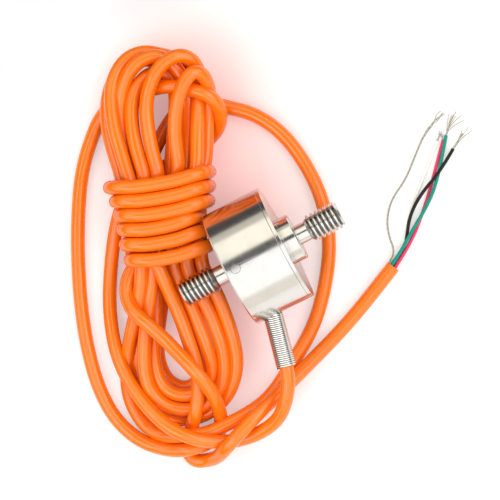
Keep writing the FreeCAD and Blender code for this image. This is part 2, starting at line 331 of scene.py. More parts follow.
@dataclass(frozen=True)
class ExtrudedJacket:
    """Glossy soft plastic jacket with a faint skin texture and slight shade drift."""

    name: str
    light: Colour = (0.92, 0.175, 0.003)
    deep: Colour = (0.87, 0.14, 0.001)
    rough: float = 0.16
    coat: float = 0.1
    coat_rough: float = 0.22
    skin_size: float = 0.14
    skin_depth: float = 0.006
    skin_strength: float = 0.3
    skin_rough: float = 0.06
    drift_scale: float = 90.0
    drift_from: float = 0.3
    drift_gain: float = 1.3
    scuff_scale: float = 420.0
    scuff_tone: float = 0.5
    scuff_rough: float = 0.14
    scuff_height: float = 0.5

    def material(self) -> Material:
        """Jacket colour that drifts along the run, with a fine skin."""
        recipe = Recipe(self.name)
        drift = recipe.noise(self.drift_scale, 3.0)
        skin = recipe.noise(1.0 / (self.skin_size * MM), 3.0)
        scuffs = recipe.noise(self.scuff_scale, 5.0)
        share = ((drift - self.drift_from) * self.drift_gain + scuffs.swing(self.scuff_tone)).held()
        return recipe.closed({
            "Base Color": recipe.mixed(share, self.light, self.deep),
            "Roughness": self.rough + scuffs.swing(self.scuff_rough) + skin.swing(self.skin_rough),
            "Coat Weight": self.coat,
            "Coat Roughness": self.coat_rough,
            "Normal": recipe.bumped(skin + scuffs * self.scuff_height, self.skin_strength, self.skin_depth),
        })


@dataclass(frozen=True)
class MouldedSurface:
    """Plain non-metal surface with a grain, for laminate, rubber and chip bodies."""

    name: str
    light: Colour
    dark: Colour
    rough: float
    grain_size: float
    grain_depth: float
    gloss: float = 0.5
    grain_tone: float = 0.6
    grain_strength: float = 0.4
    patch_scale: float = 300.0
    patch_tone: float = 0.4
    patch_rough: float = 0.2

    def material(self) -> Material:
        """Two-tone grain with uneven gloss."""
        recipe = Recipe(self.name)
        grain = recipe.noise(1.0 / (self.grain_size * MM), 4.0)
        patches = recipe.noise(self.patch_scale, 3.0)
        tone = grain * self.grain_tone + patches * self.patch_tone
        return recipe.closed({
            "Base Color": recipe.mixed(tone, self.light, self.dark),
            "Roughness": self.rough + patches.swing(self.patch_rough),
            "Specular IOR Level": self.gloss,
            "Normal": recipe.bumped(grain, self.grain_strength, self.grain_depth),
        })


@dataclass(frozen=True)
class TinnedWire:
    """Tinned copper, silvery with warmer patches where the tin is thin."""

    name: str
    tin: Colour = (0.42, 0.40, 0.35)
    warm: Colour = (0.48, 0.40, 0.24)
    smooth: float = 0.26
    patch_scale: float = 650.0
    thin_from: float = 0.48
    thin_gain: float = 3.0
    grain_scale: float = 7000.0
    grain_rough: float = 0.14
    grain_strength: float = 0.25
    grain_depth: float = 0.003

    def material(self) -> Material:
        """Tin with warm patches and a satin gloss."""
        recipe = Recipe(self.name)
        patches = recipe.noise(self.patch_scale, 4.0)
        grain = recipe.noise(self.grain_scale)
        return recipe.closed({
            "Base Color": recipe.mixed(patches.ramp(self.thin_from, self.thin_gain), self.tin, self.warm),
            "Metallic": 1.0,
            "Roughness": self.smooth + grain * self.grain_rough,
            "Normal": recipe.bumped(grain, self.grain_strength, self.grain_depth),
        })


class Finishes:
    """Every finish of the part, made once."""

    # Light and dark tone, roughness, and the grain's size and depth
    moulded = {
        Slot.BUSH_RUBBER: ((0.03, 0.03, 0.032), (0.012, 0.012, 0.013), 0.62, 0.08, 0.01),
        Slot.BOARD_LAMINATE: ((0.06, 0.24, 0.10), (0.03, 0.15, 0.06), 0.42, 0.2, 0.01),
        Slot.RESISTOR_BODY: ((0.035, 0.035, 0.04), (0.015, 0.015, 0.018), 0.4, 0.1, 0.006),
        Slot.GAUGE_FOIL: ((0.55, 0.32, 0.08), (0.40, 0.20, 0.04), 0.32, 0.25, 0.006),
    }
    # Light and dark tone of each core's insulation, and what the four share
    insulated = {
        Slot.CORE_RED: ((0.78, 0.055, 0.14), (0.68, 0.04, 0.10)),
        Slot.CORE_BLACK: ((0.016, 0.013, 0.012), (0.008, 0.007, 0.007)),
        Slot.CORE_GREEN: ((0.001, 0.29, 0.22), (0.001, 0.21, 0.155)),
        Slot.CORE_WHITE: ((0.86, 0.85, 0.81), (0.78, 0.765, 0.72)),
    }
    insulation = {"rough": 0.36, "grain_size": 0.12, "grain_depth": 0.004, "gloss": 0.2}

    def __init__(self) -> None:
        """Make the materials by slot."""
        recipes = {
            Slot.BODY_STEEL: TurnedSteel("turned_steel"),
            Slot.PLUG_STEEL: TurnedSteel("plug_steel", smooth=0.17, rough=0.29),
            Slot.SPRING_STEEL: SpringWire("spring_wire"),
            Slot.CABLE_JACKET: ExtrudedJacket("cable_jacket"),
            Slot.TINNED_COPPER: TinnedWire("tinned_wire"),
        }
        for slot, look in self.moulded.items():
            recipes[slot] = MouldedSurface(slot.value, *look)
        for slot, tones in self.insulated.items():
            recipes[slot] = MouldedSurface(slot.value, *tones, **self.insulation)
        self.by_slot = {slot: recipe.material() for slot, recipe in recipes.items()}

    def of(self, slot: Slot) -> Material:
        """Material of a slot."""
        return self.by_slot[slot]


def metres(point: Sequence[float]) -> Vector:
    """Point in millimetres as a vector in metres."""
    return Vector(point) * MM


def added(name: str, data: bpy.types.ID) -> Object:
    """New object of the scene with this data."""
    thing = bpy.data.objects.new(name, data)
    bpy.context.scene.collection.objects.link(thing)
    return thing


def dressed(name: str, mesh: Mesh, material: Material) -> Object:
    """New object of a mesh in one finish."""
    mesh.name = name
    mesh.materials.clear()
    mesh.materials.append(material)
    return added(name, mesh)


def settled(piece: Object, slot: Slot, *nodes: str) -> Object:
    """Ride a piece on the part and say what it stands for.

    Args:
        piece: the finished piece.
        slot: the record's slot for its finish.
        nodes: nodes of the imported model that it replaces.

    Returns:
        The piece.
    """
    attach(piece, "root")
    if nodes:
        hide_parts(*nodes)
    LOG.info("piece %s (%s) stands for %s", piece.name, slot.value, ", ".join(nodes) or "nothing")
    return piece


def evaluated_mesh(thing: Object) -> Mesh:
    """Plain mesh of an object with its modifiers or its bevel."""
    graph = bpy.context.evaluated_depsgraph_get()
    return bpy.data.meshes.new_from_object(thing.evaluated_get(graph))


def smooth(mesh: Mesh) -> None:
    """Shade every face of a mesh smooth."""
    mesh.polygons.foreach_set("use_smooth", [True] * len(mesh.polygons))
    mesh.update()


def mesh_of(shape: bmesh.types.BMesh, name: str, merge: float = 0.0005) -> Mesh:
    """Closed mesh with its doubles merged and its faces turned outwards.

    Args:
        shape: the working shape, which is freed.
        name: the mesh's name.
        merge: distance in millimetres within which points are one.

    Returns:
        The mesh.
    """
    bmesh.ops.remove_doubles(shape, verts=shape.verts, dist=merge * MM)
    bmesh.ops.dissolve_degenerate(shape, edges=shape.edges, dist=merge * MM * 0.1)
    bmesh.ops.recalc_face_normals(shape, faces=shape.faces)
    mesh = bpy.data.meshes.new(name)
    shape.to_mesh(mesh)
    shape.free()
    smooth(mesh)
    return mesh


def realised(tree: bpy.types.NodeTree, values: dict[str, object]) -> Mesh:
    """Plain mesh that a shape tree gives.

    Args:
        tree: the geometry tree.
        values: value of each named input.

    Returns:
        The mesh.
    """
    carrier = added("carrier", bpy.data.meshes.new("carrier"))
    modifier = carrier.modifiers.new("shape", "NODES")
    modifier.node_group = tree
    for item in tree.interface.items_tree:
        if item.in_out == "INPUT" and item.name in values:
            modifier[item.identifier] = values[item.name]
    mesh = evaluated_mesh(carrier)
    carrier.modifiers.remove(modifier)
    bpy.data.objects.remove(carrier)
    return mesh


class ShapeTree(NodeTree):
    """Geometry tree with named inputs that ends in realised instances and a material."""

    def __init__(self, name: str, numbers: Sequence[str], counts: Sequence[str]) -> None:
        """Make the tree with its number, count and material inputs."""
        super().__init__(bpy.data.node_groups.new(name, "GeometryNodeTree"))
        for labels, kind in ((numbers, "NodeSocketFloat"), (counts, "NodeSocketInt"),
                             (["Material"], "NodeSocketMaterial")):
            for label in labels:
                self.tree.interface.new_socket(label, in_out="INPUT", socket_type=kind)
        self.tree.interface.new_socket("Shape", in_out="OUTPUT", socket_type="NodeSocketGeometry")
        self.group_input = self.node("NodeGroupInput")

    def given(self, name: str) -> Level:
        """Named number input."""
        return self.level(self.group_input.outputs[name])

    def close(self, shape: bpy.types.Node) -> None:
        """End the tree with a shape."""
        whole = self.node("GeometryNodeRealizeInstances", {0: shape})
        shaded = self.node("GeometryNodeSetShadeSmooth", {0: whole})
        finished = self.node("GeometryNodeSetMaterial", {
            "Geometry": shaded, "Material": self.group_input.outputs["Material"]})
        self.node("NodeGroupOutput", {0: finished})


class ThreadTree(ShapeTree):
    """Screw thread about the load axis, as a sheet whose rows follow the helix."""

    # Where the flank starts and ends, in pitches from the middle of the crest
    crest_half = 0.14
    root_from = 0.46
    merge = 0.0003

    def __init__(self) -> None:
        """Build the tree."""
        numbers = ("Start", "Length", "Direction", "Axis Height", "Major Radius", "Depth", "Pitch",
                   "Start Radius", "Tip Radius")
        super().__init__("thread", numbers, ("Rows", "Rows per Pitch", "Segments"))
        self._build()

    def _build(self) -> None:
        """Lay out the sheet, wrap it round the axis and cut it by the chamfers."""
        columns = self.given("Segments") + 1.0
        grid = self.node("GeometryNodeMeshGrid", {
            "Size X": 1.0, "Size Y": 1.0, "Vertices X": self.given("Rows"), "Vertices Y": columns})
        index = self.level(self.node("GeometryNodeInputIndex").outputs[0])
        row = ((index + 0.5) / columns).whole()
        share = (index - row * columns) / self.given("Segments")
        turns = row / self.given("Rows per Pitch")
        run = ((turns + share - 1.0) * self.given("Pitch")).most(0.0).least(self.given("Length"))
        from_crest = ((turns + 0.5).fraction() - 0.5).size()
        flank = self.node("ShaderNodeMapRange", {
            "Value": from_crest, "From Min": self.crest_half, "From Max": self.root_from},
            interpolation_type="SMOOTHSTEP")
        thread = self.given("Major Radius") - self.given("Depth") * self.level(flank.outputs["Result"])
        relief_cone = self.given("Start Radius") + run
        tip_cone = self.given("Tip Radius") + (self.given("Length") - run)
        radius = thread.least(relief_cone).least(tip_cone)
        turn = share * (2.0 * math.pi)
        place = self.node("ShaderNodeCombineXYZ", {
            "X": self.given("Start") + self.given("Direction") * run,
            "Y": radius * turn.cosine(),
            "Z": self.given("Axis Height") + self.given("Direction") * radius * turn.sine()})
        # Groove depth along the flanks, the mask for the painted shade in the thread's grooves.
        marked = self.node("GeometryNodeStoreNamedAttribute", {
            "Geometry": grid, "Name": GROOVE, "Value": flank})
        wrapped = self.node("GeometryNodeSetPosition", {"Geometry": marked, "Position": place})
        self.close(self.node("GeometryNodeMergeByDistance", {
            "Geometry": wrapped, "Distance": self.merge * MM}))


class CoilTree(ShapeTree):
    """Close-wound coil of round wire along +Z."""

    def __init__(self) -> None:
        """Build the tree."""
        super().__init__("coil", ("Turns", "Coil Radius", "Height", "Wire Radius"),
                         ("Steps per Turn", "Sides"))
        spiral = self.node("GeometryNodeCurveSpiral", {
            "Resolution": self.given("Steps per Turn"), "Rotations": self.given("Turns"),
            "Start Radius": self.given("Coil Radius"), "End Radius": self.given("Coil Radius"),
            "Height": self.given("Height"), "Reverse": False})
        section = self.node("GeometryNodeCurvePrimitiveCircle", {
            "Resolution": self.given("Sides"), "Radius": self.given("Wire Radius")})
        wire = self.node("GeometryNodeCurveToMesh", {
            "Curve": spiral, "Profile Curve": section, "Fill Caps": True})
        place = self.node("GeometryNodeInputPosition")
        flat = self.node("ShaderNodeVectorMath", {0: place, 1: (1.0, 1.0, 0.0)}, operation="MULTIPLY")
        crest = (self.length_of(flat) - self.given("Coil Radius")) / self.given("Wire Radius")
        # Groove depth, 0 on the wire's outer crest: the mask for the painted shade between the turns.
        self.close(self.node("GeometryNodeStoreNamedAttribute", {
            "Geometry": wire, "Name": GROOVE, "Value": 1.0 - crest}))


@dataclass
class ThreadedStud:
    """Threaded length of a stud, from the end of its relief to its tip."""

    start_x: float
    tip_x: float
    start_radius: float
    major_radius: float = 2.9
    depth: float = 0.58
    pitch: float = 1.0
    tip_chamfer: float = 0.5
    segments: int = 128
    rows_per_pitch: int = 16

    def __post_init__(self) -> None:
        """Work out the radius left at the tip."""
        self.tip_radius = self.major_radius - self.tip_chamfer

    def end_face(self) -> list[tuple[float, float]]:
        """Outline of the flat tip, from its edge to the middle."""
        return [(self.tip_x, self.tip_radius * share) for share in (1.0, 0.95, 0.0)]

    def mesh(self, tree: ThreadTree, material: Material) -> Mesh:
        """Open threaded sleeve.

        Args:
            tree: the thread's shape tree.
            material: its finish.

        Returns:
            The sleeve's mesh.
        """
        length = abs(self.tip_x - self.start_x)
        rows = math.ceil((length / self.pitch + 1.0) * self.rows_per_pitch) + 1
        return realised(tree.tree, {
            "Start": self.start_x * MM, "Length": length * MM,
            "Direction": math.copysign(1.0, self.tip_x - self.start_x), "Axis Height": AXIS_Z * MM,
            "Major Radius": self.major_radius * MM, "Depth": self.depth * MM, "Pitch": self.pitch * MM,
            "Start Radius": self.start_radius * MM, "Tip Radius": self.tip_radius * MM,
            "Rows": rows, "Rows per Pitch": self.rows_per_pitch, "Segments": self.segments,
            "Material": material})


def eased(profile: Sequence[tuple[float, float]], ease: float) -> list[Vector]:
    """Profile with each corner broken by a small round and held by a point on each side.

    Args:
        profile: corners of an open outline.
        ease: size of the round.

    Returns:
        The eased outline.
    """
    points = [Vector(profile[0])]
    for before, corner, after in zip(profile, profile[1:], profile[2:]):
        middle = Vector(corner)
        into = Vector(before) - middle
        onward = Vector(after) - middle
        reach = min(ease, EASE_SHARE * into.length, EASE_SHARE * onward.length)
        into = into.normalized() * reach
        onward = onward.normalized() * reach
        points.append(middle + 2.0 * into)
        for step in range(EASE_STEPS + 1):
            share = step / EASE_STEPS
            points.append(middle + into * (1.0 - share) ** 2 + onward * share ** 2)
        points.append(middle + 2.0 * onward)
    points.append(Vector(profile[-1]))
    return points


class Lathe:
    """Surface turned about an axis, as rings of points."""

    def __init__(self, origin: Point, axis: Point, segments: int = 128) -> None:
        """Set the axis, from a point and a direction; the rings start at the +Y or +X side."""
        self.shape = bmesh.new()
        self.origin = Vector(origin)
        self.axis = Vector(axis).normalized()
        first = Vector((0.0, 1.0, 0.0)) if abs(self.axis.x) > 0.5 else Vector((1.0, 0.0, 0.0))
        self.first = (first - self.axis * first.dot(self.axis)).normalized()
        self.second = self.axis.cross(self.first)
        self.segments = segments

    def _ring(self, along: float, radius: float) -> list[bmesh.types.BMVert]:
        """Points of one ring, or the one point at a pole."""
        middle = self.origin + self.axis * along
        if radius == 0.0:
            return [self.shape.verts.new(middle * MM)]
        ring = []
        for step in range(self.segments):
            turn = 2.0 * math.pi * step / self.segments
            out = self.first * math.cos(turn) + self.second * math.sin(turn)
            ring.append(self.shape.verts.new((middle + out * radius) * MM))
        return ring

    def turn(self, profile: Iterable[Sequence[float]]) -> Lathe:
        """Add the surface of an outline of places along the axis and radii."""
        rings = [self._ring(along, radius) for along, radius in profile]
        for ring, after in zip(rings, rings[1:]):
            for step in range(self.segments):
                face = []
                for corner in (ring[step % len(ring)], ring[(step + 1) % len(ring)],
                               after[(step + 1) % len(after)], after[step % len(after)]):
                    if corner not in face:
                        face.append(corner)
                self.shape.faces.new(face)
        return self

    def join(self, mesh: Mesh) -> Lathe:
        """Add a mesh in the same place."""
        self.shape.from_mesh(mesh)
        bpy.data.meshes.remove(mesh)
        return self


def carved(mesh: Mesh, cutters: Sequence[Mesh]) -> Mesh:
    """Mesh with other closed meshes cut away.

    Args:
        mesh: the solid.
        cutters: what is removed from it.

    Returns:
        The cut mesh.
    """
    solid = added("solid", mesh)
    tools = [added("cutter", cutter) for cutter in cutters]
    for tool in tools:
        modifier = solid.modifiers.new("cut", "BOOLEAN")
        modifier.operation = "DIFFERENCE"
        modifier.solver = "EXACT"
        modifier.object = tool
    result = evaluated_mesh(solid)
    for thing in (solid, *tools):
        bpy.data.objects.remove(thing)
    return result


def true_round(mesh: Mesh, radius: float) -> None:
    """Point the normals on the outer round straight out from the load axis, also beside a cut.

    Args:
        mesh: mesh about the load axis.
        radius: the round's radius.
    """
    mesh.set_sharp_from_angle(angle=math.radians(SHARP_ANGLE))
    centre = AXIS_Z * MM
    out = [Vector((0.0, vertex.co.y, vertex.co.z - centre)) for vertex in mesh.vertices]
    normals = []
    for polygon in mesh.polygons:
        on_round = all(abs(out[index].length - radius * MM) < ON_ROUND * MM for index in polygon.vertices)
        for index in polygon.vertices:
            normals.append(out[index].normalized() if on_round else Vector((0.0, 0.0, 0.0)))
    mesh.normals_split_custom_set(normals)


@dataclass
class Cell:
    """Steel cell: cup with its base stud, sensing diaphragm with its load stud, and side plug."""

    body_radius: float = 12.5
    bore_radius: float = 10.0
    floor_thickness: float = 2.0
    flange_thickness: float = 0.75
    web_thickness: float = 1.1
    rim_chamfer: float = 0.3
    seam_chamfer: float = 0.08
    spigot_depth: float = 1.5
    spigot_radius: float = 9.98
    spigot_inner_radius: float = 8.78
    hub_radius: float = 4.0
    hub_depth: float = 2.0
    collar_radius: float = 5.0
    collar_chamfer: float = 0.25
    relief_radius: float = 2.05
    base_stud_length: float = 11.0
    base_relief_length: float = 3.1
    load_stud_length: float = 9.9
    load_relief_length: float = 2.4
    collar_height: float = 2.7
    edge: float = 0.05
    entry_from_base: float = 3.6
    entry_reach: float = 4.0
    seat_depth: float = 1.2
    seat_radius: float = 2.15
    entry_radius: float = 1.95
    plug_from_base: float = 2.3
    plug_radius: float = 1.06
    pocket_radius: float = 1.1
    plug_depth: float = 1.4
    plug_edge: float = 0.06
    dimple_radius: float = 0.85
    dimple_depth: float = 0.012
    dimple_steps: int = 6
    rim_steps: int = 4
    bore_segments: int = 64

    def __post_init__(self) -> None:
        """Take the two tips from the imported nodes, and work the other places out from them."""
        self.base_tip_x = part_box("housing_cup")[0].x / MM
        self.load_tip_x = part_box("sensing_diaphragm")[1].x / MM
        self.base_x = self.base_tip_x + self.base_stud_length
        self.base_relief_x = self.base_x - self.base_relief_length
        self.floor_x = self.base_x + self.floor_thickness
        self.collar_x = self.load_tip_x - self.load_stud_length
        self.load_relief_x = self.collar_x + self.load_relief_length
        self.cover_x = self.collar_x - self.collar_height
        self.seam_x = self.cover_x - self.flange_thickness
        self.web_x = self.cover_x - self.web_thickness
        self.entry_mouth = Vector((self.base_x + self.entry_from_base, -self.body_radius, AXIS_Z))
        self.plug_place = Vector((self.base_x + self.plug_from_base, 0.0, AXIS_Z + self.body_radius))

    def spring_seat(self) -> Vector:
        """Bottom of the counterbore, where the coil starts."""
        return self.entry_mouth - ENTRY_OUT * self.seat_depth

    def build(self, finishes: Finishes) -> None:
        """Cup, diaphragm and plug in their finishes."""
        thread = ThreadTree()
        steel = finishes.of(Slot.BODY_STEEL)
        self._cup(thread, steel)
        self._diaphragm(thread, steel)
        self._plug(finishes.of(Slot.PLUG_STEEL))

    def _turned(self, name: str, outline: Sequence[tuple[float, float]], stud: ThreadedStud,
                thread: ThreadTree, steel: Material) -> Mesh:
        """Outline turned about the load axis, with its stud."""
        lathe = Lathe((0.0, 0.0, AXIS_Z), (1.0, 0.0, 0.0)).turn(eased(outline, self.edge))
        lathe.join(stud.mesh(thread, steel)).turn(stud.end_face())
        return mesh_of(lathe.shape, name)

    def _cup(self, thread: ThreadTree, steel: Material) -> None:
        """Cup and base stud, bored for the cable and the plug."""
        outline = [
            (self.base_relief_x, self.relief_radius),
            (self.base_x, self.relief_radius),
            (self.base_x, self.body_radius - self.rim_chamfer),
            (self.base_x + self.rim_chamfer, self.body_radius),
            (self.seam_x - self.seam_chamfer, self.body_radius),
            (self.seam_x, self.body_radius - self.seam_chamfer),
            (self.seam_x, self.bore_radius),
            (self.floor_x, self.bore_radius),
            (self.floor_x, 0.0),
        ]
        stud = ThreadedStud(self.base_relief_x, self.base_tip_x, self.relief_radius)
        mesh = self._turned("cup_turned", outline, stud, thread, steel)
        mesh = carved(mesh, [self._entry_cutter(), self._pocket_cutter()])
        self._dressed("cup_turned", mesh, steel, "housing_cup")

    def _entry_cutter(self) -> Mesh:
        """Counterbore for the coil and hole for the jacket."""
        cutter = Lathe(self.entry_mouth, ENTRY_OUT, self.bore_segments)
        inner, outer = -self.entry_reach, self.entry_reach / 2.0
        cutter.turn([(inner, 0.0), (inner, self.entry_radius), (-self.seat_depth, self.entry_radius),
                     (-self.seat_depth, self.seat_radius), (outer, self.seat_radius), (outer, 0.0)])
        return mesh_of(cutter.shape, "entry_cutter")

    def _pocket_cutter(self) -> Mesh:
        """Pocket for the plug in the top of the cup."""
        depth = self.plug_depth
        cutter = Lathe(self.plug_place, (0.0, 0.0, 1.0), self.bore_segments)
        cutter.turn([(-depth, 0.0), (-depth, self.pocket_radius), (depth, self.pocket_radius), (depth, 0.0)])
        return mesh_of(cutter.shape, "pocket_cutter")

    def _diaphragm(self, thread: ThreadTree, steel: Material) -> None:
        """Flange, spigot, web, hub, collar and load stud."""
        hub_x = self.web_x - self.hub_depth
        spigot_x = self.seam_x - self.spigot_depth
        outline = [
            (hub_x, 0.0),
            (hub_x, self.hub_radius),
            (self.web_x, self.hub_radius),
            (self.web_x, self.spigot_inner_radius),
            (spigot_x, self.spigot_inner_radius),
            (spigot_x, self.spigot_radius),
            (self.seam_x, self.spigot_radius),
            (self.seam_x, self.body_radius - self.seam_chamfer),
            (self.seam_x + self.seam_chamfer, self.body_radius),
            (self.cover_x, self.body_radius),
            (self.cover_x, self.collar_radius),
            (self.collar_x - self.collar_chamfer, self.collar_radius),
            (self.collar_x, self.collar_radius - self.collar_chamfer),
            (self.collar_x, self.relief_radius),
            (self.load_relief_x, self.relief_radius),
        ]
        stud = ThreadedStud(self.load_relief_x, self.load_tip_x, self.relief_radius)
        mesh = self._turned("diaphragm_turned", outline, stud, thread, steel)
        self._dressed("diaphragm_turned", mesh, steel, "sensing_diaphragm")

    def _plug(self, steel: Material) -> None:
        """Plug with a broken edge and a dimple, its face bent to the round of the cup."""
        rim = self.plug_radius - self.plug_edge
        outline = [(-self.plug_depth, 0.0), (-self.plug_depth, self.plug_radius),
                   (-self.plug_edge, self.plug_radius)]
        for step in range(self.rim_steps + 1):
            outline.append((0.0, rim - (rim - self.dimple_radius) * step / self.rim_steps))
        for step in range(1, self.dimple_steps + 1):
            share = 1.0 - step / self.dimple_steps
            outline.append((-self.dimple_depth * (1.0 - share ** 2), self.dimple_radius * share))
        lathe = Lathe(self.plug_place, (0.0, 0.0, 1.0), self.bore_segments).turn(outline)
        round_radius = self.body_radius * MM
        for vertex in lathe.shape.verts:
            vertex.co.z -= round_radius - math.sqrt(round_radius ** 2 - vertex.co.y ** 2)
        piece = dressed("plug_face", mesh_of(lathe.shape, "plug_face"), steel)
        piece.data.set_sharp_from_angle(angle=math.radians(SHARP_ANGLE))
        settled(piece, Slot.PLUG_STEEL, "side_plug")

    def _dressed(self, name: str, mesh: Mesh, steel: Material, node: str) -> None:
        """Steel piece that stands for a node."""
        smooth(mesh)
        true_round(mesh, self.body_radius)
        settled(dressed(name, mesh, steel), Slot.BODY_STEEL, node)


@dataclass
class StrainRelief:
    """Close-wound coil round the jacket, seated in the cup's counterbore."""

    seat: Vector
    length: float = 12.1
    wire: float = 0.4
    pitch: float = 0.425
    coil_radius: float = 1.89
    steps: int = 48
    sides: int = 16

    def free_end(self) -> Vector:
        """Middle of the coil's free end, where the cable comes out."""
        return self.seat + ENTRY_OUT * self.length

    def build(self, finishes: Finishes) -> Object:
        """Coil in its finish, turned to leave the cup."""
        material = finishes.of(Slot.SPRING_STEEL)
        height = self.length - self.wire
        mesh = realised(CoilTree().tree, {
            "Turns": height / self.pitch, "Coil Radius": self.coil_radius * MM, "Height": height * MM,
            "Wire Radius": self.wire / 2.0 * MM, "Steps per Turn": self.steps, "Sides": self.sides,
            "Material": material})
        start = (self.seat + ENTRY_OUT * self.wire / 2.0) * MM
        turn = Vector((0.0, 0.0, 1.0)).rotation_difference(ENTRY_OUT).to_matrix().to_4x4()
        mesh.transform(Matrix.Translation(start) @ turn)
        mesh.name = "relief_coil"
        return settled(added("relief_coil", mesh), Slot.SPRING_STEEL, "strain_relief_spring")


def tubes(name: str, kind: str, runs: Sequence[Sequence[Vector]], diameter: float,
          rounds: int) -> Object:
    """Round tubes as one curve object.

    Args:
        name: the object's name.
        kind: the splines' type.
        runs: control points of each tube, in metres.
        diameter: the tubes' diameter.
        rounds: bevel resolution.

    Returns:
        The curve object.
    """
    curve = bpy.data.curves.new(name, "CURVE")
    curve.dimensions = "3D"
    curve.bevel_depth = diameter / 2.0 * MM
    curve.bevel_resolution = rounds
    curve.use_fill_caps = True
    for run in runs:
        spline = curve.splines.new(kind)
        spline.points.add(len(run) - 1)
        for control, point in zip(spline.points, run):
            control.co = (*point, 1.0)
    return added(name, curve)


def cord_curve(name: str, points: Sequence[Point], diameter: float, material: Material,
               resolution: int = 8, rounds: int = 5) -> Object:
    """Smooth round cord through its control points.

    Args:
        name: the object's name.
        points: control points.
        diameter: the cord's diameter.
        material: its finish.
        resolution: steps between points.
        rounds: bevel resolution.

    Returns:
        The curve object.
    """
    cord = tubes(name, "NURBS", [[metres(point) for point in points]], diameter, rounds)
    spline = cord.data.splines[0]
    spline.order_u = 3
    spline.use_endpoint_u = True
    spline.resolution_u = resolution
    cord.data.resolution_u = resolution
    cord.data.materials.append(material)
    return cord


def laid(points: Iterable[Point]) -> list[Vector]:
    """Points of the laid cable, moved to its place along the load axis."""
    return [Vector((x + LAY_X, y, z)) for x, y, z in points]


def cord_line(points: Sequence[Point], resolution: int = 8) -> list[Vector]:
    """Points along a cord's own smooth line, in metres."""
    bare = cord_curve("line", points, 0.0, bpy.data.materials[0], resolution, 0)
    bare.data.use_fill_caps = False
    mesh = evaluated_mesh(bare)
    line = [vertex.co.copy() for vertex in mesh.vertices]
    bpy.data.meshes.remove(mesh)
    bpy.data.objects.remove(bare)
    return line


